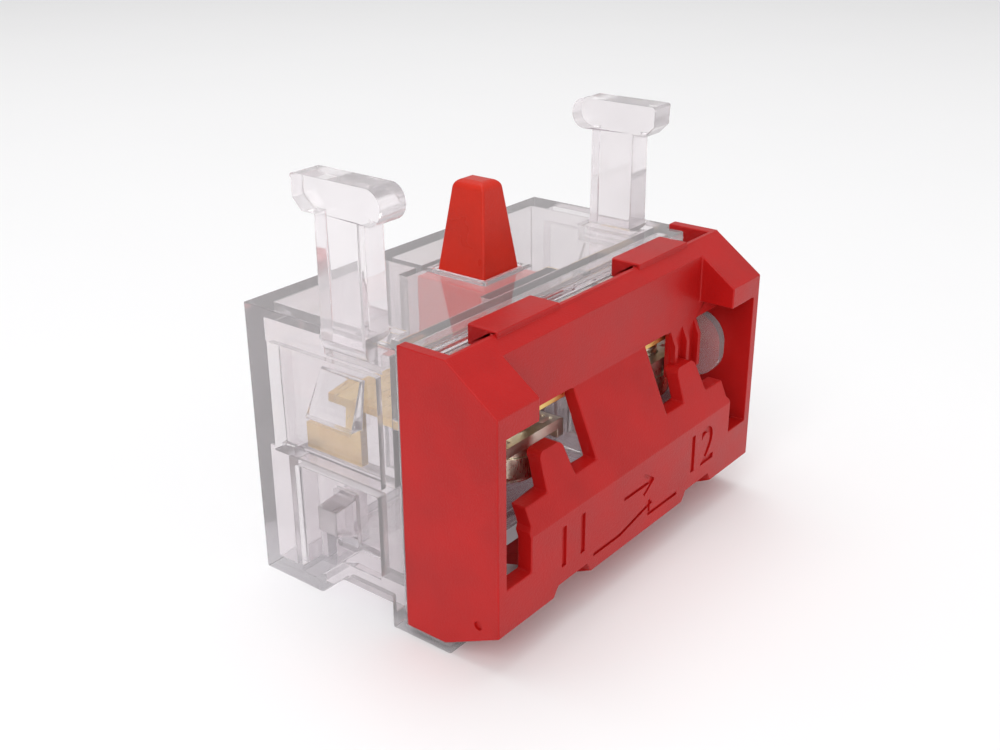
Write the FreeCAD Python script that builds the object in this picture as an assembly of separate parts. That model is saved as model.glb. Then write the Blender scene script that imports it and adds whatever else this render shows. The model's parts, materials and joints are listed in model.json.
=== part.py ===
"""Normally closed contact block of an emergency stop button, as separate pieces.

Millimetres.  X runs along the block, the red terminal cover faces -Y, the plunger
points up +Z.  The origin is under the middle of the block, level with its feet.
"""
import FreeCAD, Part
import math
import os

V = FreeCAD.Vector

# ---------------------------------------------------------------- driving sizes
# Whole block
block_length = 42.0
block_depth = 28.0
body_top = 26.7
hook_reach = 12.5

# Clear housing
wall = 1.3
top_wall = 1.4
front_wall = 1.1
middle_underside = 3.1
upper_recess_depth = 1.4
lower_recess_depth = 2.6

# Red terminal cover
cover_depth = 10.1
cover_wall = 1.1
cover_skin = 1.5
cover_gap = 0.15
brow_height = 3.65
brow_depth = 5.1
recess_depth = 3.65
pillar_width = 5.4
window_width = 14.1
tooth_width = 4.3
hump_length = 8.6

# Terminals
screw_from_end = 10.4
screw_from_front = 7.3
thread_radius = 1.75
thread_pitch = 0.6
head_radius = 3.0
head_height = 2.6
washer_gauge = 0.8
clamp_gauge = 1.0
clamp_half_length = 4.6
clamp_half_width = 2.8
clamp_opening = 1.9
clamp_travel = 1.7
strip_gauge = 0.8
running_clearance = 0.05

# Plunger and contact bridge
plunger_x = -1.8
plunger_y = 3.4
plunger_base_x = 5.2
plunger_base_y = 5.5
plunger_tip_x = 2.7
plunger_tip_y = 3.5
plunger_rise = 8.5
plunger_travel = 4.3
stem_x = 7.6
stem_y = 8.4
bridge_gauge = 1.0
bridge_width = 4.4
contact_spacing = 13.2
contact_radius = 1.6
contact_gap = 0.06
seat_gap = 0.04
spring_wire = 0.5
bridge_spring_wire = 0.35

# Snap hooks
hook_thickness = 3.0
hook_stem = 4.9
hook_head_height = 3.1
hook_head_length = 9.7
left_hook_x = -19.5
left_hook_y = 2.05
right_hook_x = 18.7
right_hook_y = 1.55

# ---------------------------------------------------------------- derived levels
half = block_length / 2
front = -block_depth / 2
back = block_depth / 2
cover_rear = front + cover_depth
cover_top = body_top + 0.4
cover_bottom = 0.9
front_bottom = cover_bottom + 2.8
window_top = body_top - 6.9
label_top = window_top - 8.6
notch_floor = label_top + 2.3
tooth_top = window_top - 3.2
slot_floor = max(label_top - 3.3, front_bottom + 1.5)
recess_y = front + recess_depth
ridge_z = cover_top - brow_height + brow_height * recess_depth / brow_depth
beam_back = recess_y + 1.1
bar_back = front + 5.5
slope_run = recess_depth / (window_top - label_top)

plate_z = window_top - 1.0
plate_top = plate_z + strip_gauge
clamp_top = plate_z - clamp_opening
clamp_bottom = clamp_top - clamp_gauge
washer_bottom = clamp_bottom - washer_gauge
head_bottom = washer_bottom - head_height
screw_x = half - screw_from_end
screw_y = max(front + screw_from_front, beam_back + thread_radius + 0.8)

chamber_front = max(cover_rear + 1.7, screw_y + head_radius + front_wall + 0.4)
floor_top = middle_underside + 1.4
end_inner = half - upper_recess_depth - 0.8
lower_inner = half - lower_recess_depth - 1.1
ledge_z = plate_z - 5.6
ledge_gauge = 0.8
recess_top = body_top - 3.1
nose_top = body_top - 1.1
nose_step = front + 8.2
latch_rise = 0.6 * (ledge_z - ledge_gauge - floor_top)

mechanism = plate_z - floor_top
throw = min(plunger_travel, 0.36 * mechanism)
stem_bottom = floor_top + throw + 0.5
fixed_face = plate_z - 0.6
bridge_contact_top = fixed_face - contact_gap
bridge_top = bridge_contact_top - 0.54
bridge_bottom = bridge_top - bridge_gauge
window_high = bridge_top + 1.0
window_low = window_high - 0.3636 * mechanism
pocket_top = window_low - 1.2
stem_top = body_top - top_wall - 0.15
cap_gauge = 0.5

left_contact_x = plunger_x - contact_spacing / 2
right_contact_x = plunger_x + contact_spacing / 2


# ---------------------------------------------------------------- shape helpers
def box(x0, x1, y0, y1, z0, z1):
    """Upright box between two corners given in any order."""
    low = V(min(x0, x1), min(y0, y1), min(z0, z1))
    return Part.makeBox(abs(x1 - x0), abs(y1 - y0), abs(z1 - z0), low)


def face_of(points):
    """Flat face inside a closed run of corners."""
    return Part.Face(Part.makePolygon(points + [points[0]]))


def prism_x(outline, x0, x1):
    """End profile of (y, z) corners drawn out along X."""
    face = face_of([V(x0, y, z) for y, z in outline])
    return face.extrude(V(x1 - x0, 0, 0))


def prism_y(outline, y0, y1):
    """Front profile of (x, z) corners drawn out along Y."""
    face = face_of([V(x, y0, z) for x, z in outline])
    return face.extrude(V(0, y1 - y0, 0))


def prism_z(outline, z0, z1):
    """Plan of (x, y) corners drawn out along Z."""
    face = face_of([V(x, y, z0) for x, y in outline])
    return face.extrude(V(0, 0, z1 - z0))


def rod(x, y, z0, z1, radius):
    """Upright cylinder."""
    return Part.makeCylinder(radius, z1 - z0, V(x, y, z0), V(0, 0, 1))


def rod_y(x, z, y0, y1, radius):
    """Cylinder lying along Y."""
    return Part.makeCylinder(radius, y1 - y0, V(x, y0, z), V(0, 1, 0))


def join(pieces):
    """One solid from touching solids, with the seams between flush faces removed."""
    whole = pieces[0]
    for piece in pieces[1:]:
        whole = whole.fuse(piece)
    return whole.removeSplitter()


def mirrored(shape):
    """The same shape on the other end of the block."""
    return shape.mirror(V(0, 0, 0), V(1, 0, 0))


def on_side(shape, side):
    """Shapes are drawn for the +X end; the -X end gets the mirror image."""
    return shape if side > 0 else mirrored(shape)


def rounded(shape, radius, wanted):
    """Round the wanted edges together, or leave them sharp where they do not fit."""
    edges = [edge for edge in shape.Edges if wanted(edge)]
    for share in (1.0, 0.6, 0.3):
        try:
            result = shape.makeFillet(radius * share, edges)
            if result.isValid() and result.Volume > 0:
                return result
        except Exception:
            continue
    return shape


def runs_along(edge, axis):
    """True for a straight edge lying along one axis."""
    if edge.Curve.TypeId != "Part::GeomLine":
        return False
    direction = edge.tangentAt(edge.FirstParameter)
    return abs(abs(direction.dot(axis)) - 1) < 1e-6


def span_of(edge):
    """Bounding box of an edge."""
    return edge.BoundBox


def save(name, shape):
    """Write one node, checked as a single closed solid."""
    solids = shape.Solids
    if len(solids) != 1:
        raise ValueError("%s is %d solids, not one" % (name, len(solids)))
    solid = solids[0]
    if not solid.isValid():
        raise ValueError("%s is not a valid solid" % name)
    solid.exportStep(os.path.join("parts", name + ".step"))


# ---------------------------------------------------------------- red terminal cover
def slope_y(z):
    """Front surface of the sloped panel at a height."""
    return front + (z - label_top) * slope_run


def cover_end_wall(side):
    """End wall with the full side profile of the cover."""
    outline = [
        (cover_rear, cover_bottom),
        (cover_rear, cover_top),
        (front + brow_depth, cover_top),
        (front, cover_top - brow_height),
        (front, front_bottom),
        (front + 5.8, cover_bottom),
    ]
    return on_side(prism_x(outline, half - cover_wall, half), side)


def cover_front_shell():
    """Floor, bottom bevel, label panel and sloped panel as one folded wall."""
    inner_front = front + cover_skin
    floor_in = cover_bottom + wall
    outline = [
        (cover_rear, cover_bottom),
        (front + 5.8, cover_bottom),
        (front, front_bottom),
        (front, label_top),
        (recess_y, window_top),
        (recess_y + 1.1, window_top),
        (recess_y + 1.1, window_top - 0.6),
        (inner_front, label_top - 0.3),
        (inner_front, front_bottom + 0.7),
        (front + 6.1, floor_in),
        (cover_rear, floor_in),
    ]
    return prism_x(outline, -half + cover_wall, half - cover_wall)


def cover_beam():
    """Bar along the top: the wall behind the recess and the sloped upper edge."""
    outline = [
        (recess_y, window_top),
        (recess_y, ridge_z),
        (front + brow_depth, cover_top),
        (bar_back, cover_top),
        (bar_back, cover_top - 1.5),
        (beam_back, cover_top - 1.5),
        (beam_back, window_top),
    ]
    return prism_x(outline, -half + cover_wall, half - cover_wall)


def cover_brow(side):
    """Hollow corner pillar that keeps the full front bevel at each end."""
    inner_end = half - pillar_width
    skin = 1.2
    lip = window_top + 1.6
    roof = [
        (recess_y, ridge_z),
        (front, cover_top - brow_height),
        (front, lip),
        (front + skin, lip),
        (front + skin, cover_top - brow_height - 0.5),
        (recess_y, ridge_z - 1.6),
    ]
    cheek = [
        (recess_y, ridge_z),
        (front, cover_top - brow_height),
        (front, lip),
        (recess_y, lip),
    ]
    shell = prism_x(roof, inner_end, half - cover_wall)
    inner_cheek = prism_x(cheek, inner_end, inner_end + cover_wall)
    return on_side(shell.fuse(inner_cheek), side)


def cover_window(side):
    """Wire entry: the gap in the sloped panel, with a deeper slot at the end."""
    outer = half - cover_wall
    slot_edge = half - 4.4
    step_edge = half - 4.8
    inner = half - cover_wall - window_width
    outline = [
        (outer, slot_floor),
        (slot_edge, slot_floor),
        (slot_edge, label_top + 0.3),
        (step_edge, label_top + 0.7),
        (step_edge, notch_floor),
        (inner, notch_floor + 0.1),
        (inner, window_top),
        (outer, window_top),
    ]
    cutter = prism_y(outline, front - 1, recess_y + 1.2)
    return on_side(cutter, side)


def panel_back(z):
    """Rear surface of the sloped panel at a height."""
    low = label_top - 0.3
    run = (beam_back - front - cover_skin) / (window_top - 0.6 - low)
    return front + cover_skin + (z - low) * run


def cover_tooth(side):
    """Upright tooth that parts the two wire entries of one terminal."""
    outer = half - 7.8
    inner = outer - tooth_width
    outline = [
        (inner, notch_floor - 0.5),
        (inner + 0.6, tooth_top),
        (outer - 0.6, tooth_top),
        (outer, notch_floor - 0.5),
    ]
    front_view = prism_y(outline, front - 1, recess_y + 4)
    front_view = rounded(front_view, 0.7, lambda e: runs_along(e, V(0, 1, 0)) and span_of(e).ZMin > tooth_top - 0.01)
    low = notch_floor - 1.0
    panel = [
        (slope_y(low), low),
        (slope_y(window_top), window_top),
        (slope_y(window_top) + 1.35, window_top),
        (slope_y(low) + 1.5, low),
    ]
    return on_side(front_view.common(prism_x(panel, inner - 1, outer + 1)), side)


def cover_skirt():
    """Thin wall with three upright ribs that hangs behind the tooth of the right-hand terminal."""
    inner = half - 10.8
    outer = inner + 5.0
    low = notch_floor + 1.6
    wall_behind = box(inner, outer, recess_y, recess_y + 0.5, low, window_top + 0.5)
    ribs = []
    for step in range(3):
        centre = inner + 0.35 + step * (outer - inner - 0.7) / 2
        outline = [
            (recess_y + 0.1, window_top),
            (recess_y, window_top),
            (recess_y - 0.6, window_top - 1.4),
            (recess_y - 0.6, low),
            (recess_y + 0.1, low),
        ]
        ribs.append(prism_x(outline, centre - 0.25, centre + 0.25))
    return join([wall_behind] + ribs)


def driver_cut(side):
    """Screwdriver hole under the screw with a shallow guide groove to the front edge."""
    hole = rod(screw_x, screw_y, -1, cover_bottom + wall + 3, 3.15)
    groove = [
        (screw_x - 2.7, -1),
        (screw_x + 2.7, -1),
        (screw_x + 2.7, front_bottom),
        (screw_x + 2.2, front_bottom + 1.0),
        (screw_x - 2.2, front_bottom + 1.0),
        (screw_x - 2.7, front_bottom),
    ]
    cutter = prism_y(groove, front - 1, front + cover_skin + 0.6)
    return on_side(hole.fuse(cutter), side)


def terminal_cover():
    """Red moulding over the two terminals."""
    pieces = [cover_front_shell(), cover_beam()]
    for side in (-1, 1):
        pieces.append(cover_end_wall(side))
        pieces.append(cover_brow(side))
    for side in (-1, 1):
        hump_start = half - 14.8
        hump = box(hump_start, hump_start + hump_length, bar_back - 0.6, front + 8.0, nose_top + 0.05, cover_top + 0.35)
        pieces.append(on_side(hump, side))
    shape = join(pieces)
    for side in (-1, 1):
        shape = shape.cut(cover_window(side))
    for side in (-1, 1):
        shape = shape.fuse(cover_tooth(side))
        shape = shape.cut(driver_cut(side))
    shape = shape.fuse(cover_skirt())
    shape = shape.removeSplitter()
    return shape


# ---------------------------------------------------------------- clear housing
def housing_body():
    """Outer block behind the cover, with the stepped underside."""
    outline = [
        (back, 0),
        (back, body_top),
        (cover_rear, body_top),
        (cover_rear, cover_bottom),
        (chamber_front - front_wall, cover_bottom),
        (chamber_front - front_wall, middle_underside),
        (plunger_y - 0.4, middle_underside),
        (plunger_y + 3.2, 0),
    ]
    return prism_x(outline, -half, half)


def housing_chamber():
    """Hollow for the switching mechanism."""
    outline = [
        (back - wall, wall),
        (back - wall, body_top - top_wall),
        (chamber_front, body_top - top_wall),
        (chamber_front, floor_top),
        (plunger_y + 0.2, floor_top),
        (plunger_y + 3.8, wall),
    ]
    return prism_x(outline, -half + wall, half - wall)


def housing_nose():
    """Roof, cheeks and dividers that reach forward inside the cover."""
    side_x = half - cover_wall - cover_gap
    cheek_in = side_x - 1.0
    roof = prism_x(
        [
            (chamber_front, body_top),
            (nose_step, body_top),
            (nose_step, nose_top),
            (bar_back + cover_gap, nose_top),
            (bar_back + cover_gap, nose_top - top_wall),
            (nose_step + 1.2, nose_top - top_wall),
            (nose_step + 1.2, body_top - top_wall),
            (chamber_front, body_top - top_wall),
        ],
        -side_x,
        side_x,
    )
    pieces = [roof]
    cheek_top = window_top - 0.9
    arch = 3.0
    for side in (-1, 1):
        lower = box(cheek_in, side_x, front + 2.8, chamber_front - 0.8, label_top + 0.8, cheek_top)
        lower = rounded(lower, arch, lambda e: runs_along(e, V(1, 0, 0)) and span_of(e).YMax < front + 3)
        upper = box(
            cheek_in, side_x, bar_back + cover_gap, chamber_front - 0.8, cover_bottom + wall + 0.4, nose_top - 0.1
        )
        pieces.append(on_side(lower, side))
        pieces.append(on_side(upper, side))
        divider_x = half - cover_wall - window_width - 0.8
        divider = box(divider_x - 1.0, divider_x, bar_back + cover_gap, cover_rear + 1, plate_z - 9.0, nose_top - 0.5)
        guide = [
            (panel_back(label_top + 1.8) + 0.3, label_top + 1.8),
            (panel_back(window_top - 0.8) + 0.3, window_top - 0.8),
            (beam_back + 0.15, window_top - 0.2),
            (bar_back + cover_gap + 0.1, window_top - 0.2),
            (bar_back + cover_gap + 0.1, label_top + 1.8),
        ]
        pieces.append(on_side(divider.fuse(prism_x(guide, divider_x - 1.0, divider_x)), side))
        foot_in = half - 5.6
        foot = box(foot_in, half, front + 5.3, chamber_front, 0, cover_bottom - 0.1)
        foot_back = box(foot_in, half, cover_rear, chamber_front, 0, middle_underside + 1)
        pieces.append(on_side(foot.fuse(foot_back), side))
    return pieces


def hook_seat(centre_x, centre_y):
    """Rounded socket in the roof that holds a hook root with running clearance."""
    length = hook_stem + 0.2
    pivot_z = body_top - 0.7
    y0 = centre_y - length / 2
    radius = hook_thickness / 2 + 0.06
    slot = box(centre_x - radius - 0.03, centre_x + radius + 0.03, y0, y0 + length, pivot_z, body_top + 1)
    return rod_y(centre_x, pivot_z, y0, y0 + length, radius).fuse(slot)


def housing_end(side):
    """Thickening behind the end recesses, drawn for one end."""
    upper = box(end_inner, half - wall, chamber_front - 0.1, back - wall, ledge_z, body_top - top_wall)
    lower = box(lower_inner, half - wall, chamber_front - 0.1, back - 3.7, wall, ledge_z)
    return on_side(upper.fuse(lower), side)


def end_recess(side):
    """The two shallow recesses in an end face, with the latch window."""
    ledge_low = ledge_z - ledge_gauge
    upper = box(half - upper_recess_depth, half + 1, chamber_front + 0.7, back - 2.6, ledge_z, recess_top)
    rim = [
        (chamber_front + 1.2, ledge_low),
        (chamber_front + 1.2, floor_top - 0.1),
        (plunger_y + 0.2, floor_top - 0.1),
        (plunger_y + 3.9, wall),
        (back - 5.0, wall),
        (back - 5.0, ledge_low),
    ]
    lower = prism_x(rim, half - lower_recess_depth, half + 1)
    latch = box(
        lower_inner - 0.5, half, plunger_y + 0.9, plunger_y + 3.6, floor_top - 0.2, floor_top + latch_rise + 0.4
    )
    return on_side(upper.fuse(lower).fuse(latch), side)


def end_ramp(side):
    """Wedge in the upper recess, thick at its lower edge."""
    low = ledge_z + 4.2
    high = min(low + 4.8, recess_top - 0.4)
    floor_x = half - upper_recess_depth
    face = prism_x(
        [(plunger_y - 2.2, high), (plunger_y + 2.6, high), (plunger_y + 4.1, low), (plunger_y - 1.6, low)],
        floor_x - 0.2,
        half,
    )
    ramp = prism_y(
        [(floor_x - 0.2, low), (floor_x + 1.2, low), (floor_x + 0.4, high), (floor_x - 0.2, high)],
        front,
        back,
    )
    return on_side(face.common(ramp), side)


def clear_housing():
    """Transparent moulding that carries the mechanism, the hooks and the feet."""
    shape = housing_body().cut(housing_chamber())
    side_x = half - cover_wall - cover_gap
    relief = box(
        -side_x, side_x, cover_rear - 1, chamber_front - front_wall, cover_bottom - 1, body_top - top_wall
    )
    shape = shape.cut(relief)
    pieces = [shape] + housing_nose()
    for side in (-1, 1):
        pieces.append(housing_end(side))
    roof_low = body_top - top_wall
    hook_places = ((left_hook_x, left_hook_y), (right_hook_x, right_hook_y))
    for x, y in hook_places:
        x0 = max(x - 2.6, -half)
        x1 = min(x + 2.6, half)
        pieces.append(box(x0, x1, y - 3.2, y + 3.2, recess_top, roof_low + 0.1))
    guide = stem_y / 2 + 0.15
    for y0 in (plunger_y - guide - 1.0, plunger_y + guide):
        pieces.append(box(plunger_x - 5.0, plunger_x + 5.0, y0, y0 + 1.0, floor_top, roof_low + 0.1))
    pieces.append(box(plunger_x - 2.6, plunger_x - 1.8, plunger_y + guide + 0.9, back - wall + 0.1, floor_top, roof_low + 0.1))
    pieces.append(box(-lower_inner - 0.2, lower_inner + 0.2, plunger_y + 4.3, plunger_y + 5.4, 0, floor_top))
    lip = 0.55
    hole_x = plunger_base_x / 2 + 0.25
    hole_y = plunger_base_y / 2 + 0.25
    pieces.append(
        box(
            plunger_x - hole_x - lip,
            plunger_x + hole_x + lip,
            plunger_y - hole_y - lip,
            plunger_y + hole_y + lip,
            body_top - 0.1,
            body_top + 0.25,
        )
    )
    shape = join(pieces)
    for side in (-1, 1):
        shape = shape.cut(end_recess(side))
        strip_slot = box(
            half - 7.8, end_inner - 0.1, chamber_front - front_wall - 1, chamber_front + 1, plate_z - 0.1, plate_top + 0.1
        )
        shape = shape.cut(on_side(strip_slot, side))
    shape = shape.cut(box(-lower_inner, lower_inner, chamber_front, plunger_y + 4.3, -1, floor_top))
    shape = shape.cut(
        box(
            plunger_x - hole_x,
            plunger_x + hole_x,
            plunger_y - hole_y,
            plunger_y + hole_y,
            roof_low - 1,
            body_top + 1,
        )
    )
    for x, y in hook_places:
        shape = shape.cut(hook_seat(x, y))
    for side in (-1, 1):
        shape = shape.fuse(end_ramp(side))
    return shape.removeSplitter()


def base_plate():
    """Clear floor that closes the mechanism chamber and latches at both ends."""
    gap = 0.1
    plate = box(-lower_inner + gap, lower_inner - gap, chamber_front + gap, plunger_y + 4.2, middle_underside, floor_top)
    pieces = [plate, rod(plunger_x, plunger_y, floor_top - 0.1, floor_top + 1.8, 1.7)]
    for side in (-1, 1):
        arm = box(
            lower_inner - 1.25,
            lower_inner - gap,
            plunger_y + 1.1,
            plunger_y + 3.4,
            floor_top - 0.1,
            floor_top + latch_rise + 0.2,
        )
        nose = prism_y(
            [
                (lower_inner - 0.5, floor_top + 0.1),
                (half - 0.3, floor_top + 0.4 * latch_rise),
                (half - 0.3, floor_top + latch_rise - 0.4),
                (lower_inner - 0.5, floor_top + latch_rise),
            ],
            plunger_y + 1.1,
            plunger_y + 3.4,
        )
        pieces.append(on_side(arm.fuse(nose), side))
    return join(pieces)


# ---------------------------------------------------------------- snap hooks
def snap_hook(centre_x, centre_y, round_end):
    """T-headed hook; round_end is the Y direction of the head's rounded nose."""
    x0 = centre_x - hook_thickness / 2
    x1 = centre_x + hook_thickness / 2
    top = body_top + hook_reach
    low = top - hook_head_height
    pivot_z = body_top - 0.7
    flip = -round_end
    nose_y = centre_y + round_end * (hook_head_length / 2 - hook_head_height / 2)
    tail_y = centre_y - round_end * hook_head_length / 2
    stem = box(x0, x1, centre_y - hook_stem / 2, centre_y + hook_stem / 2, pivot_z, low + 0.1)
    root = rod_y(centre_x, pivot_z, centre_y - hook_stem / 2, centre_y + hook_stem / 2, hook_thickness / 2)
    head = prism_x(
        [
            (nose_y, low),
            (nose_y, top),
            (tail_y, top),
            (tail_y, low + 1.1),
            (tail_y - flip * 1.1, low),
        ],
        x0,
        x1,
    )
    nose = Part.makeCylinder(hook_head_height / 2, hook_thickness, V(x0, nose_y, (top + low) / 2), V(1, 0, 0))
    shape = join([stem, root, head, nose])
    shape = rounded(shape, 0.3, lambda e: span_of(e).ZMin > top - 0.01 and not runs_along(e, V(0, 1, 0)))
    return shape


# ---------------------------------------------------------------- terminals
def terminal_strip(side):
    """Brass strip: screw plate in front, contact arm behind, anchor flange at the end."""
    inner_end = side * plunger_x + 4.6
    flange_out = end_inner - 0.15
    flange_in = flange_out - strip_gauge
    run_in = half - 7.6
    plate = box(
        screw_x - clamp_half_length,
        screw_x + clamp_half_length,
        recess_y + 0.75,
        chamber_front - front_wall - 0.2,
        plate_z,
        plate_top,
    )
    collar = rod(screw_x, screw_y, plate_top - 0.1, plate_top + 1.0, thread_radius + 0.7)
    run = box(run_in, flange_out, chamber_front - front_wall - 0.6, plunger_y + 2.4, plate_z, plate_top)
    arm = box(inner_end, flange_out, plunger_y - 2.4, plunger_y + 2.4, plate_z, plate_top)
    flange_low = ledge_z + 0.2
    upright = box(flange_in, flange_out, plunger_y - 0.9, plunger_y + 0.3, flange_low, plate_top)
    tab = box(flange_in, flange_out, plunger_y - 0.9, plunger_y + 5.8, flange_low, flange_low + 2.5)
    shape = join([plate, run, arm, collar, upright, tab])
    shape = shape.cut(rod(screw_x, screw_y, plate_z - 1, plate_top + 2, thread_radius + running_clearance))
    contact_x = side * plunger_x + contact_spacing / 2
    shape = shape.cut(rod(contact_x, plunger_y, plate_z - 1, plate_top + 1, 0.8))
    return on_side(shape, side)


def rivet(x, y, face_z, direction, through, face_height):
    """Silver contact rivet: domed face, shank through the strip and an upset tail."""
    rise = 0.12
    outline = [
        (0, face_height),
        (contact_radius - 0.5, face_height - rise * 0.25),
        (contact_radius, face_height - rise),
        (contact_radius, 0),
        (0.8, 0),
        (0.8, -through),
        (1.15, -through),
        (0.9, -through - 0.3),
        (0, -through - 0.3),
    ]
    points = [V(x + r, y, face_z + direction * h) for r, h in outline]
    return face_of(points).revolve(V(x, y, face_z), V(0, 0, 1), 360)


def fixed_contact(side):
    """Contact under the arm of a terminal strip."""
    x = right_contact_x if side > 0 else left_contact_x
    return rivet(x, plunger_y, plate_z, -1, strip_gauge, plate_z - fixed_face)


def bridge_contact(side):
    """Contact on top of the bridge."""
    x = right_contact_x if side > 0 else left_contact_x
    return rivet(x, plunger_y, bridge_top, 1, bridge_gauge, bridge_contact_top - bridge_top)


def contact_bridge():
    """Copper alloy bar that joins the two fixed contacts."""
    reach = contact_spacing / 2 + 2.0
    bar = box(
        plunger_x - reach,
        plunger_x + reach,
        plunger_y - bridge_width / 2,
        plunger_y + bridge_width / 2,
        bridge_bottom,
        bridge_top,
    )
    bar = rounded(bar, 1.2, lambda e: runs_along(e, V(0, 0, 1)))
    for x in (left_contact_x, right_contact_x):
        bar = bar.cut(rod(x, plunger_y, bridge_bottom - 1, bridge_top + 1, 0.8))
    bar = bar.cut(rod(plunger_x, plunger_y, bridge_bottom - 1, bridge_top + 1, 0.9))
    return bar


def spring_cap():
    """Seat between the contact spring and the bridge."""
    disc = rod(plunger_x, plunger_y, bridge_bottom - cap_gauge, bridge_bottom, 2.0)
    peg = rod(plunger_x, plunger_y, bridge_bottom - 0.1, bridge_top - 0.2, 0.9)
    tail = rod(plunger_x, plunger_y, bridge_bottom - cap_gauge - 0.8, bridge_bottom - cap_gauge + 0.1, 1.0)
    return join([disc, peg, tail])


def terminal_screw(side):
    """Pan-head clamping screw, head down, with thread rings and a combined drive."""
    top = plate_top + 1.0 + 0.4
    shank = rod(screw_x, screw_y, washer_bottom - 0.1, top, thread_radius)
    tip = Part.makeCone(thread_radius, thread_radius - 0.5, 0.5, V(screw_x, screw_y, top), V(0, 0, 1))
    head = rod(screw_x, screw_y, head_bottom, washer_bottom, head_radius)
    head = rounded(head, 0.9, lambda e: span_of(e).ZMax < head_bottom + 0.01)
    shape = join([shank, tip, head])
    rings = int((top - washer_bottom - 0.6) / thread_pitch)
    for ring in range(rings):
        level = washer_bottom + 0.5 + ring * thread_pitch
        outline = [
            (thread_radius + 0.1, level - 0.24),
            (thread_radius - 0.3, level),
            (thread_radius + 0.1, level + 0.24),
        ]
        points = [V(screw_x + r, screw_y, z) for r, z in outline]
        groove = face_of(points).revolve(V(screw_x, screw_y, level), V(0, 0, 1), 360)
        shape = shape.cut(groove)
    drive = 1.2
    long_slot = box(screw_x - 4, screw_x + 4, screw_y - 0.45, screw_y + 0.45, head_bottom - 1, head_bottom + drive)
    cross = box(screw_x - 0.5, screw_x + 0.5, screw_y - 1.7, screw_y + 1.7, head_bottom - 1, head_bottom + drive + 0.2)
    shape = shape.cut(long_slot).cut(cross)
    return on_side(shape, side)


def spring_washer(side):
    """Split spring washer between screw head and clamp."""
    inner = thread_radius + 0.1
    outer = head_radius - 0.2
    ring = rod(screw_x, screw_y, washer_bottom + seat_gap, clamp_bottom, outer)
    ring = ring.cut(rod(screw_x, screw_y, washer_bottom - 1, clamp_bottom + 1, inner))
    split = prism_y(
        [
            (screw_x - 0.35, washer_bottom - 0.5),
            (screw_x + 0.05, washer_bottom - 0.5),
            (screw_x + 0.35, clamp_bottom + 0.5),
            (screw_x - 0.05, clamp_bottom + 0.5),
        ],
        screw_y - head_radius - 1,
        screw_y - inner / 2,
    )
    return on_side(ring.cut(split), side)


def saddle_clamp(side):
    """Square wire clamp with turned-down wings and a ribbed upper face."""
    x0 = screw_x - clamp_half_length
    x1 = screw_x + clamp_half_length
    y0 = screw_y - clamp_half_width
    y1 = screw_y + clamp_half_width
    wing = 0.9
    plate = box(x0, x1, y0, y1, clamp_bottom, clamp_top)
    wings = [box(x0, x0 + wing, y0, y1, washer_bottom, clamp_top), box(x1 - wing, x1, y0, y1, washer_bottom, clamp_top)]
    shape = join([plate] + wings)
    shape = rounded(shape, 0.5, lambda e: runs_along(e, V(0, 1, 0)) and span_of(e).ZMin > clamp_top - 0.01)
    shape = shape.cut(rod(screw_x, screw_y, washer_bottom - 1, clamp_top + 1, thread_radius + 0.1))
    for offset in (-2.0, -1.2, 1.2, 2.0):
        y = screw_y + offset
        for low, high in ((x0 + 0.8, screw_x - 2.3), (screw_x + 2.3, x1 - 0.8)):
            groove = prism_x([(y - 0.25, clamp_top + 0.01), (y, clamp_top - 0.25), (y + 0.25, clamp_top + 0.01)], low, high)
            shape = shape.cut(groove)
    return on_side(shape, side)


# ---------------------------------------------------------------- plunger and springs
def plunger():
    """Red actuator: tapered button above, windowed stem below."""
    tip_z = body_top + plunger_rise
    button = Part.makeWedge(
        -plunger_base_x / 2,
        0,
        -plunger_base_y / 2,
        -plunger_tip_y / 2,
        -plunger_tip_x / 2,
        plunger_base_x / 2,
        plunger_rise,
        plunger_base_y / 2,
        plunger_tip_y / 2,
        plunger_tip_x / 2,
    )
    button.rotate(V(0, 0, 0), V(1, 0, 0), 90)
    button.translate(V(plunger_x, plunger_y, body_top))
    button = rounded(button, 0.9, lambda e: span_of(e).ZMin > tip_z - 0.01)
    button = rounded(button, 0.25, lambda e: span_of(e).ZMin < body_top + 0.01 and span_of(e).ZMax > body_top + 3)
    neck = box(
        plunger_x - plunger_base_x / 2,
        plunger_x + plunger_base_x / 2,
        plunger_y - plunger_base_y / 2,
        plunger_y + plunger_base_y / 2,
        stem_top - 0.1,
        body_top,
    )
    stem = box(
        plunger_x - stem_x / 2,
        plunger_x + stem_x / 2,
        plunger_y - stem_y / 2,
        plunger_y + stem_y / 2,
        stem_bottom,
        stem_top,
    )
    opening = box(
        plunger_x - stem_x,
        plunger_x + stem_x,
        plunger_y - bridge_width / 2 - 0.3,
        plunger_y + bridge_width / 2 + 0.3,
        window_low,
        window_high,
    )
    pocket = rod(plunger_x, plunger_y, stem_bottom - 1, pocket_top, 2.95)
    stem = stem.cut(opening).cut(pocket)
    return join([button, neck, stem])


def coil(radius, wire, z0, z1, turns):
    """Compression spring between two levels, as half turns that tilt one way and then the other."""
    height = z1 - z0 - wire
    turns = min(turns, int(height / (1.4 * wire)))
    rise = height / (2 * turns)
    reach = math.hypot(radius, rise / 2)
    tilt = math.degrees(math.atan2(rise / 2, radius))
    section = Part.Face(Part.Wire(Part.makeCircle(wire / 2, V(reach, 0, 0), V(0, 1, 0))))
    half_turn = section.revolve(V(0, 0, 0), V(0, 0, 1), 180)
    half_turn.rotate(V(0, 0, 0), V(0, 1, 0), tilt)
    pieces = []
    for step in range(2 * turns):
        piece = half_turn.copy()
        piece.rotate(V(0, 0, 0), V(0, 0, 1), 180 * (step % 2))
        piece.translate(V(plunger_x, plunger_y, z0 + wire / 2 + rise * (step + 0.5)))
        pieces.append(piece)
    return pieces[0].multiFuse(pieces[1:]).Solids[0]


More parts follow.
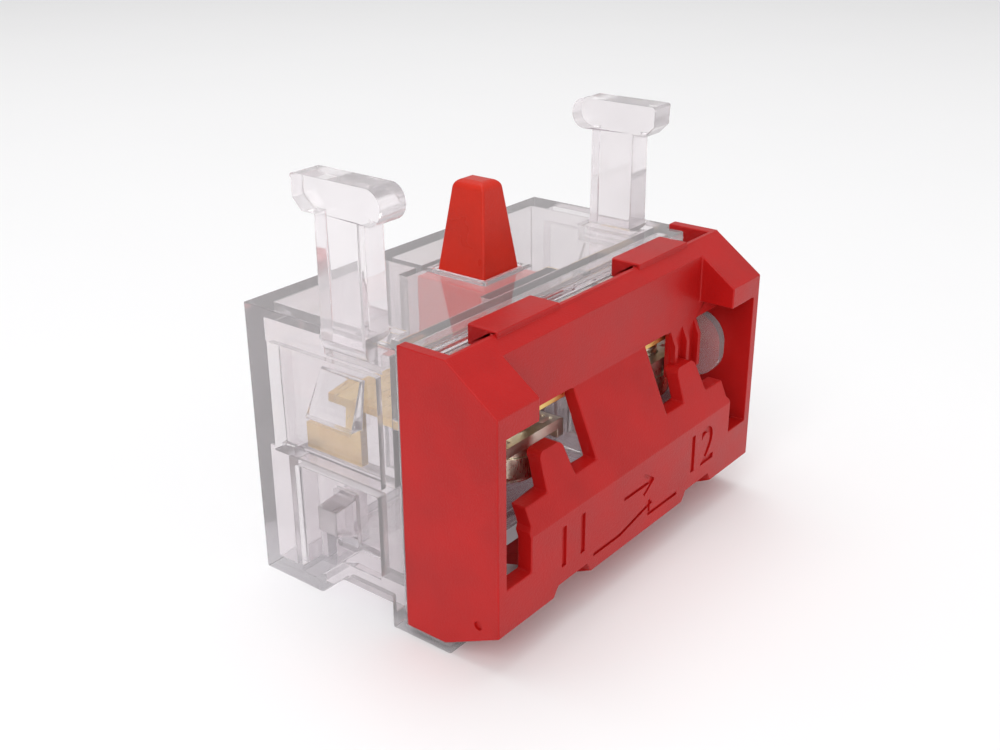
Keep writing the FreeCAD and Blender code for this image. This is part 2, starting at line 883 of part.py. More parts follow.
def return_spring():
    """Spring that lifts the plunger."""
    return coil(2.3, spring_wire, floor_top + 0.03, pocket_top - 0.03, 5)


def contact_spring():
    """Spring that presses the bridge against the fixed contacts."""
    return coil(1.5, bridge_spring_wire, window_low + 0.03, bridge_bottom - cap_gauge - 0.03, 4)


# ---------------------------------------------------------------- write the nodes
def main():
    os.makedirs("parts", exist_ok=True)
    save("clear_housing", clear_housing())
    save("base_plate", base_plate())
    save("terminal_cover", terminal_cover())
    save("plunger", plunger())
    save("return_spring", return_spring())
    save("contact_spring", contact_spring())
    save("spring_cap", spring_cap())
    save("contact_bridge", contact_bridge())
    save("snap_hook_left", snap_hook(left_hook_x, left_hook_y, -1))
    save("snap_hook_right", snap_hook(right_hook_x, right_hook_y, 1))
    for side, name in ((-1, "left"), (1, "right")):
        save("terminal_strip_" + name, terminal_strip(side))
        save("fixed_contact_" + name, fixed_contact(side))
        save("bridge_contact_" + name, bridge_contact(side))
        save("terminal_screw_" + name, terminal_screw(side))
        save("spring_washer_" + name, spring_washer(side))
        save("saddle_clamp_" + name, saddle_clamp(side))


main()
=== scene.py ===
import json
import math

import bmesh
import bpy
from mathutils import Matrix, Vector


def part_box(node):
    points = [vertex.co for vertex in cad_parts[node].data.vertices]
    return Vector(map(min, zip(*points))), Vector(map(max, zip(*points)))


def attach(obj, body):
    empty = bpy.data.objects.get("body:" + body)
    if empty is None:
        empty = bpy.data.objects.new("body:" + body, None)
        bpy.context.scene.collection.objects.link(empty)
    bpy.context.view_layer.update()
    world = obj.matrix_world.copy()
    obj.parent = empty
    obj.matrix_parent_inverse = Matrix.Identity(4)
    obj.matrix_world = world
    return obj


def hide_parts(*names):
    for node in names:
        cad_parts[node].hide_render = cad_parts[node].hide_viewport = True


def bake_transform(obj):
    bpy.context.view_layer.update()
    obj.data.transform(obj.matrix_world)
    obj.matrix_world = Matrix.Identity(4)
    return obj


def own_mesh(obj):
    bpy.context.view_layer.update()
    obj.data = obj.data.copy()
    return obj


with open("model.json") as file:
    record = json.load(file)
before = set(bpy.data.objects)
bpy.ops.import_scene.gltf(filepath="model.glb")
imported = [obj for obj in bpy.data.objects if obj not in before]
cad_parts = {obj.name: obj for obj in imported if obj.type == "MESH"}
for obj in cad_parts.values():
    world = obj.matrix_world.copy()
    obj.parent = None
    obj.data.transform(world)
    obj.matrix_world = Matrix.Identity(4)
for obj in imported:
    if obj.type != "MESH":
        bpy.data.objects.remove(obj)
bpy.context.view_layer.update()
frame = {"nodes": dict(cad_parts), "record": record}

bl_info = {
    "name": "Clear contact block",
    "version": (1, 0, 0),
    "blender": (4, 5, 0),
    "location": "3D View > Sidebar > Contact Block",
    "description": "Pieces of a normally closed contact block, with its studio",
    "category": "Object",
}

MM = 0.001
SIDES = ("left", "right")

# folds sharper than this are edges; the small radii may turn the light further than that
SHARP_ANGLE = math.radians(32)
RADIUS_ANGLE = math.radians(60)
COVER_FOLD = math.radians(22)
FLAT_ANGLE = math.radians(1.2)
QUARTER_TURN = math.pi / 2

# lengths in millimetres
MERGE_GAP = 0.002
SHORTEST_EDGE = 0.4
COVER_SHORTEST_EDGE = 0.25
SCREW_SHORTEST_EDGE = 0.5
GATE_Y = 2.15
GATE_Z = 4.2
NUMBER_FOOT = 6.3
TERMINAL_NUMBERS = (("11", -10.6), ("12", 10.9))
# x and z reach of the marks, and the thin wire stops' reach in x, y and z, both left crisp
MARKS_X, MARKS_Z = 14.0, (4.3, 10.6)
STOPS_X, STOPS_Y, STOPS_Z = (9.9, 15.4), -9.8, (15.0, 20.5)
CRISP_MARGIN = 0.05
RETURN_WIRE, RETURN_TURNS = 0.5, 5
CONTACT_WIRE, CONTACT_TURNS = 0.35, 4
STEPS_PER_TURN = 28

# strokes on the label panel, each x, z to x, z: lead, blade and fixed tick of a contact that opens
CONTACT_SYMBOL = (
    (-7.4, 5.2, -3.2, 5.2), (-3.2, 5.2, 2.0, 6.3), (1.6, 5.2, 1.6, 6.6), (1.6, 5.2, 6.6, 5.2),
)
# arrow of positive opening
OPENING_ARROW = ((-2.6, 8.6, 2.2, 8.6), (2.2, 8.6, 0.7, 9.6), (2.2, 8.6, 0.7, 7.6))

# lamps in metres and watts: name, place, side of the square, power
LAMPS = (
    ("key", (-0.42, -0.16, 0.42), 0.34, 1.0),
    ("top", (0.05, 0.12, 0.6), 0.5, 1.4),
    ("fill", (0.3, -0.5, 0.26), 0.4, 0.2),
    ("front", (-0.3, -0.3, 0.17), 0.26, 0.42),
)
LAMP_AIM = (0.0, 0.0, 0.018)
ROOM_LIGHT = 0.6
FLOOR_REACH = 3.0
CAMERA_PLACE = (-0.086886, -0.066375, 0.06418)
CAMERA_TURN = (66.2976, 0.304, -51.7986)
CAMERA_LENS = 45.02


# ---------------------------------------------------------------- colours
def linear(hex_colour):
    """Linear RGBA of an sRGB hex colour."""
    channels = [int(hex_colour[i:i + 2], 16) / 255 for i in (1, 3, 5)]
    curve = [c / 12.92 if c <= 0.04045 else ((c + 0.055) / 1.055) ** 2.4 for c in channels]
    return (*curve, 1.0)


def colour_property(name, description, hex_colour):
    return bpy.props.FloatVectorProperty(
        name=name, description=description, default=linear(hex_colour)[:3],
        subtype="COLOR", size=3, min=0.0, max=1.0,
    )


def length_property(name, description, millimetres):
    return bpy.props.FloatProperty(
        name=name, description=description, default=millimetres * MM,
        unit="LENGTH", subtype="DISTANCE", precision=5, min=0.0,
    )


class ContactBlockSizes(bpy.types.PropertyGroup):
    """Edge radii and small details that a user may change."""

    housing_edge: length_property("Housing edge", "Rounding of the clear housing's edges", 0.16)
    cover_edge: length_property("Cover edge", "Rounding of the red cover's edges", 0.14)
    plunger_edge: length_property("Plunger edge", "Rounding of the plunger's edges", 0.18)
    hook_edge: length_property("Hook edge", "Rounding of the hooks' edges", 0.22)
    sheet_edge: length_property("Sheet edge", "Rounding of the stamped brass edges", 0.07)
    screw_edge: length_property("Screw edge", "Rounding of screw and clamp edges", 0.07)
    mark_depth: length_property("Mark depth", "Depth of the marks sunk in the label panel", 0.2)
    mark_height: length_property("Mark height", "Height of the terminal numbers", 3.9)
    mark_stroke: length_property("Mark stroke", "Width of the contact symbol's strokes", 0.36)
    gate_radius: length_property("Gate radius", "Radius of the moulding gate's dimple", 0.42)


class ContactBlockColours(bpy.types.PropertyGroup):
    """Colours of the finishes."""

    clear: colour_property("Clear plastic", "Tint of the polycarbonate", "#F4F0F2")
    cover: colour_property("Cover red", "Red of the terminal cover", "#AE1413")
    plunger: colour_property("Plunger red", "Orange red of the plunger", "#C42613")
    brass: colour_property("Brass", "Rolled brass of the strips", "#F2D488")
    nickel: colour_property("Nickel", "Nickel plating of the screws", "#F6EFE2")
    zinc: colour_property("Zinc", "Zinc plating of the clamps", "#EFEADD")
    silver: colour_property("Silver", "Silver alloy of the contacts", "#EFEDE6")
    wire: colour_property("Spring wire", "Drawn spring wire", "#B9B9B7")
    floor: colour_property("Floor", "Studio floor", "#F4F4F5")


# ---------------------------------------------------------------- materials
def add_node(tree, kind, inputs=None, **settings):
    """One node with its settings; an input is a value or the socket that feeds it."""
    node = tree.nodes.new(kind)
    for name, value in settings.items():
        setattr(node, name, value)
    for name, value in (inputs or {}).items():
        socket = node.inputs[name]
        if isinstance(value, bpy.types.NodeSocket):
            tree.links.new(value, socket)
        else:
            socket.default_value = value
    return node


def new_material(name):
    """An empty node material and its tree, or the finished one and None."""
    if name in bpy.data.materials:
        return bpy.data.materials[name], None
    material = bpy.data.materials.new(name)
    material.use_nodes = True
    material.node_tree.nodes.clear()
    return material, material.node_tree


def colours():
    return bpy.context.scene.contact_block_colours


def sizes():
    return bpy.context.scene.contact_block_sizes


def rgba(colour, gain=1.0):
    return (*(min(1.0, c * gain) for c in colour), 1.0)


def per_metre(millimetres):
    """Noise scale whose features are about this far apart."""
    return 1.0 / (millimetres * MM)


def clear_polycarbonate(name, haze):
    """Moulded clear polycarbonate: bright glossy edges, faint flow waves and a slight milky haze."""
    material, tree = new_material(name)
    if tree is None:
        return material
    place = add_node(tree, "ShaderNodeTexCoord").outputs["Object"]
    # flow waves from filling the mould, about 4 mm apart and drawn out along the part
    stretched = add_node(tree, "ShaderNodeMapping", {"Vector": place, "Scale": (0.35, 1.0, 1.0)}).outputs[0]
    waves = add_node(
        tree, "ShaderNodeTexNoise", {"Vector": stretched, "Scale": per_metre(4.0), "Detail": 2.0},
    )
    # handling scuffs, drawn at 0.5 mm so that they show
    scuffs = add_node(
        tree, "ShaderNodeTexNoise", {"Vector": place, "Scale": per_metre(0.5), "Detail": 4.0},
    )
    tint = add_node(tree, "ShaderNodeValToRGB", {"Fac": waves.outputs["Fac"]})
    tint.color_ramp.elements[0].position = 0.3
    tint.color_ramp.elements[0].color = rgba(colours().clear, 0.97)
    tint.color_ramp.elements[1].position = 0.7
    tint.color_ramp.elements[1].color = rgba(colours().clear, 1.02)
    gloss = add_node(
        tree, "ShaderNodeMapRange",
        {
            "Value": scuffs.outputs["Fac"], "From Min": 0.35, "From Max": 0.75,
            "To Min": 0.015, "To Max": 0.05,
        },
    )
    relief = add_node(
        tree, "ShaderNodeBump", {"Height": waves.outputs["Fac"], "Strength": 0.035, "Distance": 0.2 * MM},
    )
    plastic = add_node(
        tree, "ShaderNodeBsdfPrincipled",
        {
            "Base Color": tint.outputs["Color"],
            "Roughness": gloss.outputs["Result"],
            "IOR": 1.585,
            "Transmission Weight": 1.0 - haze,
            "Normal": relief.outputs["Normal"],
        },
    )
    # lamps shine through the walls, as they do through real clear walls
    lets_light = add_node(tree, "ShaderNodeBsdfTransparent", {"Color": (0.93, 0.92, 0.93, 1.0)})
    rays = add_node(tree, "ShaderNodeLightPath")
    both = add_node(
        tree, "ShaderNodeMixShader",
        {0: rays.outputs["Is Shadow Ray"], 1: plastic.outputs[0], 2: lets_light.outputs[0]},
    )
    add_node(tree, "ShaderNodeOutputMaterial", {"Surface": both.outputs[0]})
    return material


def moulded_red(name, colour, grain_mm, shine):
    """Moulded polyamide: solid red, satin, with a fine eroded texture and paler drag marks."""
    material, tree = new_material(name)
    if tree is None:
        return material
    place = add_node(tree, "ShaderNodeTexCoord").outputs["Object"]
    # spark-eroded mould texture, real grain near 0.08 mm, drawn coarser so that it shows
    grain = add_node(
        tree, "ShaderNodeTexNoise", {"Vector": place, "Scale": per_metre(grain_mm), "Detail": 3.0},
    )
    clouds = add_node(
        tree, "ShaderNodeTexNoise", {"Vector": place, "Scale": per_metre(5.0), "Detail": 3.0},
    )
    tone = add_node(tree, "ShaderNodeValToRGB", {"Fac": clouds.outputs["Fac"]})
    tone.color_ramp.elements[0].position = 0.28
    tone.color_ramp.elements[0].color = rgba(colour, 0.88)
    tone.color_ramp.elements[1].position = 0.75
    tone.color_ramp.elements[1].color = rgba(colour, 1.1)
    gloss = add_node(
        tree, "ShaderNodeMapRange",
        {
            "Value": clouds.outputs["Fac"], "From Min": 0.3, "From Max": 0.7,
            "To Min": shine - 0.05, "To Max": shine + 0.07,
        },
    )
    relief = add_node(
        tree, "ShaderNodeBump", {"Height": grain.outputs["Fac"], "Strength": 0.45, "Distance": 0.06 * MM},
    )
    plastic = add_node(
        tree, "ShaderNodeBsdfPrincipled",
        {
            "Base Color": tone.outputs["Color"],
            "Roughness": gloss.outputs["Result"],
            "IOR": 1.53,
            "Specular IOR Level": 0.24,
            "Subsurface Weight": 0.12,
            "Subsurface Radius": (1.0, 0.12, 0.08),
            "Subsurface Scale": 0.5 * MM,
            "Normal": relief.outputs["Normal"],
        },
    )
    add_node(tree, "ShaderNodeOutputMaterial", {"Surface": plastic.outputs[0]})
    return material


def metal(name, colour, line_mm, along, rough, stain):
    """Bare or plated metal: rolling or turning lines along one direction and a soft tarnish."""
    material, tree = new_material(name)
    if tree is None:
        return material
    place = add_node(tree, "ShaderNodeTexCoord").outputs["Object"]
    drawn = add_node(tree, "ShaderNodeMapping", {"Vector": place, "Scale": along}).outputs[0]
    lines = add_node(
        tree, "ShaderNodeTexNoise", {"Vector": drawn, "Scale": per_metre(line_mm), "Detail": 3.0},
    )
    tarnish = add_node(
        tree, "ShaderNodeTexNoise", {"Vector": place, "Scale": per_metre(2.5), "Detail": 4.0},
    )
    tone = add_node(tree, "ShaderNodeValToRGB", {"Fac": tarnish.outputs["Fac"]})
    tone.color_ramp.elements[0].position = 0.3
    tone.color_ramp.elements[0].color = rgba([a * b for a, b in zip(colour, stain)])
    tone.color_ramp.elements[1].position = 0.62
    tone.color_ramp.elements[1].color = rgba(colour)
    gloss = add_node(
        tree, "ShaderNodeMapRange",
        {
            "Value": lines.outputs["Fac"], "From Min": 0.3, "From Max": 0.7,
            "To Min": rough - 0.07, "To Max": rough + 0.1,
        },
    )
    relief = add_node(
        tree, "ShaderNodeBump", {"Height": lines.outputs["Fac"], "Strength": 0.15, "Distance": 0.02 * MM},
    )
    surface = add_node(
        tree, "ShaderNodeBsdfPrincipled",
        {
            "Base Color": tone.outputs["Color"],
            "Metallic": 1.0,
            "Roughness": gloss.outputs["Result"],
            "Normal": relief.outputs["Normal"],
        },
    )
    add_node(tree, "ShaderNodeOutputMaterial", {"Surface": surface.outputs[0]})
    return material


def finish_of(slot):
    """The material for one of the record's slots."""
    c = colours()
    if slot == "clear_plastic":
        return clear_polycarbonate("clear_polycarbonate_moulded", 0.14)
    if slot == "red_plastic":
        return moulded_red("red_polyamide_eroded", c.cover, 0.16, 0.36)
    if slot == "orange_red_plastic":
        return moulded_red("orange_red_acetal_satin", c.plunger, 0.22, 0.3)
    if slot == "brass":
        return metal("brass_rolled_sheet", c.brass, 0.12, (0.12, 1.0, 1.0), 0.32, (0.86, 0.74, 0.55))
    if slot == "silver":
        return metal("silver_alloy_coined", c.silver, 0.2, (1.0, 1.0, 1.0), 0.2, (0.8, 0.78, 0.74))
    if slot == "nickel_plated_steel":
        return metal("nickel_plate_turned", c.nickel, 0.1, (1.0, 1.0, 0.15), 0.3, (0.9, 0.85, 0.72))
    if slot == "zinc_plated_steel":
        return metal("zinc_plate_stamped", c.zinc, 0.14, (1.0, 0.2, 1.0), 0.36, (0.88, 0.87, 0.85))
    if slot == "spring_steel":
        return metal("spring_wire_drawn", c.wire, 0.12, (1.0, 1.0, 1.0), 0.25, (0.8, 0.8, 0.8))
    raise ValueError("no finish for slot " + slot)


# ---------------------------------------------------------------- meshes
def mesh_from(name, bm):
    """A mesh in metres from a bmesh in millimetres."""
    bmesh.ops.scale(bm, verts=bm.verts, vec=(MM, MM, MM))
    mesh = bpy.data.meshes.new(name)
    bm.to_mesh(mesh)
    bm.free()
    return mesh


def linked_object(name, bm):
    """An object in the scene from a bmesh in millimetres."""
    piece = bpy.data.objects.new(name, mesh_from(name, bm))
    bpy.context.scene.collection.objects.link(piece)
    return piece


def sunk(bm, cutter_bm):
    """The first shape with the second taken out of it, in millimetres."""
    piece, cutter = linked_object("sunk_piece", bm), linked_object("cutter", cutter_bm)
    cut = piece.modifiers.new("sink", "BOOLEAN")
    cut.object = cutter
    cut.operation = "DIFFERENCE"
    cut.solver = "EXACT"
    cut.use_self = True
    bpy.context.view_layer.update()
    result = bpy.data.meshes.new_from_object(piece.evaluated_get(bpy.context.evaluated_depsgraph_get()))
    cut_bm = bmesh.new()
    cut_bm.from_mesh(result)
    bmesh.ops.scale(cut_bm, verts=cut_bm.verts, vec=(1 / MM, 1 / MM, 1 / MM))
    bmesh.ops.remove_doubles(cut_bm, verts=cut_bm.verts, dist=MERGE_GAP)
    for mesh in (result, piece.data, cutter.data):
        bpy.data.meshes.remove(mesh)
    return cut_bm


def corner_normals(bm):
    """One shading normal per face corner, so that flat faces stay flat and small radii turn the light."""
    rounded = bm.faces.layers.int.get("rounded")
    bm.normal_update()
    normals = []
    for face in bm.faces:
        in_radius = rounded is not None and face[rounded] == 1
        limit = math.cos(RADIUS_ANGLE if in_radius else SHARP_ANGLE)
        for corner in face.loops:
            around = [f for f in corner.vert.link_faces if f.normal.dot(face.normal) > limit]
            if rounded is not None:
                around = [f for f in around if f[rounded] == 0] or around
            total = sum((f.normal * f.calc_area() for f in around), Vector())
            normals.append(total.normalized() if total.length > 1e-12 else face.normal.copy())
    return normals


def finished(name, bm, body, slot, material=None, ride=True):
    """A mesh piece from a bmesh in millimetres, shaded smooth between its sharp edges."""
    normals = corner_normals(bm)
    piece = linked_object(name, bm)
    piece.data.materials.append(material or finish_of(slot))
    piece.data.shade_smooth()
    piece.data.normals_split_custom_set(normals)
    if ride:
        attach(piece, body)
    return piece


def node_bmesh(node):
    """A CAD node's triangles in millimetres, merged, with its flat faces whole again."""
    bm = bmesh.new()
    bm.from_mesh(frame["nodes"][node].data)
    bmesh.ops.scale(bm, verts=bm.verts, vec=(1 / MM, 1 / MM, 1 / MM))
    bmesh.ops.remove_doubles(bm, verts=bm.verts, dist=MERGE_GAP)
    bmesh.ops.dissolve_degenerate(bm, edges=bm.edges, dist=MERGE_GAP / 2)
    bmesh.ops.dissolve_limit(
        bm, angle_limit=FLAT_ANGLE, use_dissolve_boundaries=False, verts=bm.verts, edges=bm.edges,
        delimit=set(),
    )
    return bm


def round_edges(bm, radius_mm, shortest_mm, segments, fold, spare=None):
    """Rounds the long enough edges that turn by more than fold; spare says which to leave crisp."""
    rounded = bm.faces.layers.int.new("rounded")
    bmesh.ops.triangulate(bm, faces=bm.faces[:], quad_method="BEAUTY", ngon_method="EAR_CLIP")
    edges = [
        e for e in bm.edges
        if len(e.link_faces) == 2 and e.calc_length() > shortest_mm and e.calc_face_angle(0.0) > fold
        and not (spare and all(spare(v.co) for v in e.verts))
    ]
    bevel = bmesh.ops.bevel(
        bm, geom=edges, offset=radius_mm, offset_type="OFFSET", affect="EDGES", segments=segments,
        profile=0.5, material=-1, clamp_overlap=False, loop_slide=True,
    )
    for face in bevel["faces"]:
        face[rounded] = 1


def body_of_node(node):
    for body, members in frame["record"]["behaviour"]["bodies"].items():
        if node in members:
            return body
    raise ValueError("no body holds " + node)


def slot_of_node(node):
    for row in frame["record"]["subparts"]:
        if row["node"] == node:
            return row["material_slot"]
    raise ValueError("no slot for " + node)


def rounded_copy(
    node, name, radius, shortest_mm=SHORTEST_EDGE, segments=2, material=None, fold=SHARP_ANGLE,
    cutter_bm=None, spare=None,
):
    """A piece that stands for a CAD node, with the small radii its tool leaves on every edge."""
    bm = node_bmesh(node)
    if cutter_bm:
        bm = sunk(bm, cutter_bm)
    round_edges(bm, radius / MM, shortest_mm, segments, fold, spare)
    piece = finished(name, bm, body_of_node(node), slot_of_node(node), material)
    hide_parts(node)
    return piece


def middle(node):
    low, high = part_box(node)
    return (low + high) / 2


def helix(bm, centre_mm, radius_mm, wire_mm, low_mm, high_mm, turns, steps):
    """Round wire wound about the vertical through centre, closed at both ends."""
    foot = Matrix.Translation((centre_mm.x + radius_mm, centre_mm.y, low_mm + wire_mm / 2))
    turned = foot @ Matrix.Rotation(QUARTER_TURN, 4, "X")
    ring = bmesh.ops.create_circle(bm, cap_ends=False, segments=12, radius=wire_mm / 2, matrix=turned)
    rise = high_mm - low_mm - wire_mm
    bmesh.ops.spin(
        bm, geom=ring["verts"] + list({e for v in ring["verts"] for e in v.link_edges}),
        cent=(centre_mm.x, centre_mm.y, 0.0), axis=(0.0, 0.0, 1.0),
        dvec=(0.0, 0.0, rise / (turns * steps)), angle=2 * math.pi * turns, steps=turns * steps,
        use_merge=False, use_duplicate=False,
    )
    bmesh.ops.holes_fill(bm, edges=[e for e in bm.edges if len(e.link_faces) == 1], sides=0)
    bmesh.ops.recalc_face_normals(bm, faces=bm.faces)


# ---------------------------------------------------------------- operators
class PieceOperator(bpy.types.Operator):
    bl_options = {"REGISTER", "UNDO"}


class CONTACTBLOCK_OT_housing(PieceOperator):
    """Round the clear housing and its floor plate"""

    bl_idname = "contact_block.housing"
    bl_label = "Clear Housing"

    def execute(self, context):
        rounded_copy("clear_housing", "housing_moulding", sizes().housing_edge)
        rounded_copy("base_plate", "floor_plate_moulding", sizes().housing_edge * 0.8)
        return {"FINISHED"}


def stroke(bm, x0, z0, x1, z1, width, depth, face_y):
    """A straight bar from one point of the label panel to another."""
    run = Vector((x1 - x0, 0.0, z1 - z0))
    turn = Matrix.Rotation(-math.atan2(run.z, run.x), 4, "Y")
    place = Matrix.Translation(((x0 + x1) / 2, face_y, (z0 + z1) / 2))
    size = Matrix.Diagonal((run.length + width * 0.5, 2 * depth, width, 1.0))
    bmesh.ops.create_cube(bm, size=1.0, matrix=place @ turn @ size)


def number(bm, text, x, z, height, depth, face_y):
    """A terminal number standing on the label panel, centred on x with its foot at z."""
    curve = bpy.data.curves.new("number", "FONT")
    curve.body = text
    curve.align_x = "CENTER"
    curve.size = height / 0.7
    curve.offset = 0.012 * height
    curve.extrude = depth
    curve.resolution_u = 4
    holder = bpy.data.objects.new("number", curve)
    bpy.context.scene.collection.objects.link(holder)
    bpy.context.view_layer.update()
    mesh = bpy.data.meshes.new_from_object(holder.evaluated_get(bpy.context.evaluated_depsgraph_get()))
    mesh.transform(Matrix.Translation((x, face_y, z)) @ Matrix.Rotation(QUARTER_TURN, 4, "X"))
    bm.from_mesh(mesh)
    bpy.data.objects.remove(holder)
    bpy.data.curves.remove(curve)
    bpy.data.meshes.remove(mesh)


def label_marks():
    """Terminal numbers, the break contact symbol with its positive opening arrow, and the gate dimple."""
    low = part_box("terminal_cover")[0] / MM
    depth, width, height = sizes().mark_depth / MM, sizes().mark_stroke / MM, sizes().mark_height / MM
    bm = bmesh.new()
    for text, x in TERMINAL_NUMBERS:
        number(bm, text, x, NUMBER_FOOT, height, depth, low.y)
    for x0, z0, x1, z1 in CONTACT_SYMBOL + OPENING_ARROW:
        stroke(bm, x0, z0, x1, z1, width, depth, low.y)
    bmesh.ops.remove_doubles(bm, verts=bm.verts, dist=MERGE_GAP / 4)
    turned = Matrix.Translation((low.x, low.y + GATE_Y, GATE_Z)) @ Matrix.Rotation(QUARTER_TURN, 4, "Y")
    radius = sizes().gate_radius / MM
    bmesh.ops.create_cone(
        bm, cap_ends=True, segments=24, radius1=radius, radius2=radius, depth=2 * depth, matrix=turned,
    )
    bmesh.ops.recalc_face_normals(bm, faces=bm.faces)
    return bm


class CONTACTBLOCK_OT_cover(PieceOperator):
    """Round the red terminal cover and sink its marks"""

    bl_idname = "contact_block.cover"
    bl_label = "Terminal Cover"

    def execute(self, context):
        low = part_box("terminal_cover")[0] / MM
        depth = sizes().mark_depth / MM + CRISP_MARGIN
        radius = sizes().gate_radius / MM + CRISP_MARGIN

        def stays_crisp(point):
            """True in the marks' part of the label panel, at the gate dimple and on the wire stops."""
            panel = (
                point.y < low.y + depth and abs(point.x) < MARKS_X
                and MARKS_Z[0] < point.z < MARKS_Z[1]
            )
            off = max(abs(point.y - low.y - GATE_Y), abs(point.z - GATE_Z))
            gate = point.x < low.x + depth and off < radius
            stops = (
                point.y < STOPS_Y and STOPS_X[0] < point.x < STOPS_X[1]
                and STOPS_Z[0] < point.z < STOPS_Z[1]
            )
            return panel or gate or stops

        rounded_copy(
            "terminal_cover", "cover_moulding", sizes().cover_edge, shortest_mm=COVER_SHORTEST_EDGE,
            fold=COVER_FOLD, cutter_bm=label_marks(), spare=stays_crisp,
        )
        return {"FINISHED"}


class CONTACTBLOCK_OT_plunger(PieceOperator):
    """Round the plunger"""

    bl_idname = "contact_block.plunger"
    bl_label = "Plunger"

    def execute(self, context):
        rounded_copy("plunger", "plunger_moulding", sizes().plunger_edge)
        return {"FINISHED"}


class CONTACTBLOCK_OT_hooks(PieceOperator):
    """Round the two T-headed hooks"""

    bl_idname = "contact_block.hooks"
    bl_label = "Hooks"

    def execute(self, context):
        milky = clear_polycarbonate("clear_polycarbonate_hooks", 0.2)
        for side in SIDES:
            rounded_copy(
                "snap_hook_" + side, "hook_moulding_" + side, sizes().hook_edge, segments=3, material=milky,
            )
        return {"FINISHED"}


class CONTACTBLOCK_OT_strips(PieceOperator):
    """Round the stamped brass: terminal strips, contact bar and spring seat"""

    bl_idname = "contact_block.strips"
    bl_label = "Brass Strips"

    def execute(self, context):
        for side in SIDES:
            rounded_copy("terminal_strip_" + side, "strip_stamping_" + side, sizes().sheet_edge)
        rounded_copy("contact_bridge", "bridge_stamping", sizes().sheet_edge)
        rounded_copy("spring_cap", "spring_seat_turned", sizes().sheet_edge)
        return {"FINISHED"}


class CONTACTBLOCK_OT_contacts(PieceOperator):
    """Smooth the four silver rivets"""

    bl_idname = "contact_block.contacts"
    bl_label = "Silver Contacts"

    def execute(self, context):
        for side in SIDES:
            rounded_copy("fixed_contact_" + side, "fixed_rivet_" + side, sizes().sheet_edge * 0.6)
            rounded_copy("bridge_contact_" + side, "bridge_rivet_" + side, sizes().sheet_edge * 0.6)
        return {"FINISHED"}


class CONTACTBLOCK_OT_terminals(PieceOperator):
    """Round the screws, split washers and wire clamps"""

    bl_idname = "contact_block.terminals"
    bl_label = "Screws and Clamps"

    def execute(self, context):
        for side in SIDES:
            rounded_copy(
                "terminal_screw_" + side, "screw_turned_" + side, sizes().screw_edge,
                shortest_mm=SCREW_SHORTEST_EDGE,
            )
            rounded_copy("spring_washer_" + side, "washer_wound_" + side, sizes().screw_edge)
            rounded_copy("saddle_clamp_" + side, "clamp_stamped_" + side, sizes().screw_edge)
        return {"FINISHED"}


class CONTACTBLOCK_OT_springs(PieceOperator):
    """Wind the return spring and the contact spring"""

    bl_idname = "contact_block.springs"
    bl_label = "Springs"

    def execute(self, context):
        wound = (
            ("return_spring", "return_coil", RETURN_WIRE, RETURN_TURNS, "block"),
            ("contact_spring", "contact_coil", CONTACT_WIRE, CONTACT_TURNS, "plunger"),
        )
        for node, name, wire_mm, turns, body in wound:
            low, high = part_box(node)
            centre_mm = middle(node) / MM
            radius_mm = (high.x - low.x) / MM / 2 - wire_mm / 2
            bm = bmesh.new()
            helix(bm, centre_mm, radius_mm, wire_mm, low.z / MM, high.z / MM, turns, STEPS_PER_TURN)
            piece = finished(name, bm, body, "spring_steel", ride=body == "block")
            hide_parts(node)
            if body == "plunger":
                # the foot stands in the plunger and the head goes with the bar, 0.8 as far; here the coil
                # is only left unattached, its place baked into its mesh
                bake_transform(piece)
            else:
                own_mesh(piece)
        return {"FINISHED"}


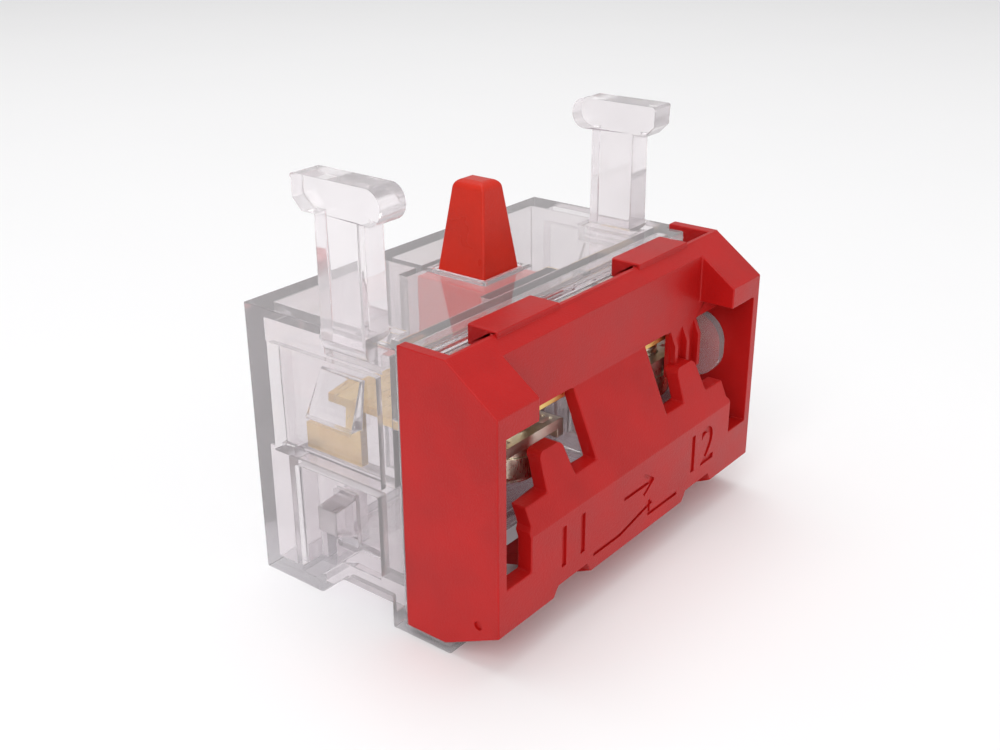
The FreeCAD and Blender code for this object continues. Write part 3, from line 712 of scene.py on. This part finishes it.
class CONTACTBLOCK_OT_stage(PieceOperator):
    """Set the floor, soft lights and camera"""

    bl_idname = "contact_block.stage"
    bl_label = "Stage"

    def execute(self, context):
        scene = context.scene
        bm = bmesh.new()
        bmesh.ops.create_grid(bm, x_segments=8, y_segments=8, size=FLOOR_REACH)
        mesh = bpy.data.meshes.new("studio_floor")
        bm.to_mesh(mesh)
        bm.free()
        floor = bpy.data.objects.new("studio_floor", mesh)
        scene.collection.objects.link(floor)
        # matt paper, its faint clouds about 40 mm apart
        material, tree = new_material("studio_paper")
        place = add_node(tree, "ShaderNodeTexCoord").outputs["Object"]
        fibres = add_node(
            tree, "ShaderNodeTexNoise", {"Vector": place, "Scale": per_metre(40.0), "Detail": 2.0},
        )
        tone = add_node(tree, "ShaderNodeValToRGB", {"Fac": fibres.outputs["Fac"]})
        tone.color_ramp.elements[0].color = rgba(colours().floor, 0.985)
        tone.color_ramp.elements[1].color = rgba(colours().floor)
        paper = add_node(
            tree, "ShaderNodeBsdfPrincipled", {"Base Color": tone.outputs["Color"], "Roughness": 0.9},
        )
        add_node(tree, "ShaderNodeOutputMaterial", {"Surface": paper.outputs[0]})
        mesh.materials.append(material)

        world = bpy.data.worlds.new("soft_room")
        world.use_nodes = True
        background = world.node_tree.nodes["Background"]
        background.inputs["Color"].default_value = (1.0, 0.995, 0.99, 1.0)
        background.inputs["Strength"].default_value = ROOM_LIGHT
        scene.world = world

        for name, spot, size, power in LAMPS:
            light = bpy.data.lights.new(name, "AREA")
            light.shape = "SQUARE"
            light.size = size
            light.energy = power
            lamp = bpy.data.objects.new(name, light)
            scene.collection.objects.link(lamp)
            lamp.location = spot
            aim = Vector(LAMP_AIM) - lamp.location
            lamp.rotation_euler = aim.to_track_quat("-Z", "Y").to_euler()

        lens = bpy.data.cameras.new("camera")
        lens.lens = CAMERA_LENS
        lens.sensor_width = 36.0
        lens.clip_start = 0.005
        lens.clip_end = 20.0
        camera = bpy.data.objects.new("camera", lens)
        scene.collection.objects.link(camera)
        camera.location = CAMERA_PLACE
        camera.rotation_euler = [math.radians(a) for a in CAMERA_TURN]
        scene.camera = camera
        scene.view_settings.view_transform = "Standard"
        return {"FINISHED"}


OPERATORS = (
    CONTACTBLOCK_OT_housing,
    CONTACTBLOCK_OT_cover,
    CONTACTBLOCK_OT_plunger,
    CONTACTBLOCK_OT_hooks,
    CONTACTBLOCK_OT_strips,
    CONTACTBLOCK_OT_contacts,
    CONTACTBLOCK_OT_terminals,
    CONTACTBLOCK_OT_springs,
    CONTACTBLOCK_OT_stage,
)


class CONTACTBLOCK_PT_panel(bpy.types.Panel):
    """Lists the pieces of the contact block"""

    bl_idname = "CONTACTBLOCK_PT_panel"
    bl_label = "Contact Block"
    bl_space_type = "VIEW_3D"
    bl_region_type = "UI"
    bl_category = "Contact Block"

    def draw(self, context):
        column = self.layout.column(align=True)
        for operator in OPERATORS:
            column.operator(operator.bl_idname, text=operator.bl_label)
        for group in (context.scene.contact_block_sizes, context.scene.contact_block_colours):
            box = self.layout.box()
            for name in group.__annotations__:
                box.prop(group, name)


CLASSES = (ContactBlockSizes, ContactBlockColours, *OPERATORS, CONTACTBLOCK_PT_panel)


def register():
    for cls in CLASSES:
        bpy.utils.register_class(cls)
    bpy.types.Scene.contact_block_sizes = bpy.props.PointerProperty(type=ContactBlockSizes)
    bpy.types.Scene.contact_block_colours = bpy.props.PointerProperty(type=ContactBlockColours)


def unregister():
    del bpy.types.Scene.contact_block_colours
    del bpy.types.Scene.contact_block_sizes
    for cls in reversed(CLASSES):
        bpy.utils.unregister_class(cls)


def main():
    """Makes every piece and the stage."""
    register()
    for operator in OPERATORS:
        group, name = operator.bl_idname.split(".")
        getattr(getattr(bpy.ops, group), name)()


if __name__ == "__main__":
    main()
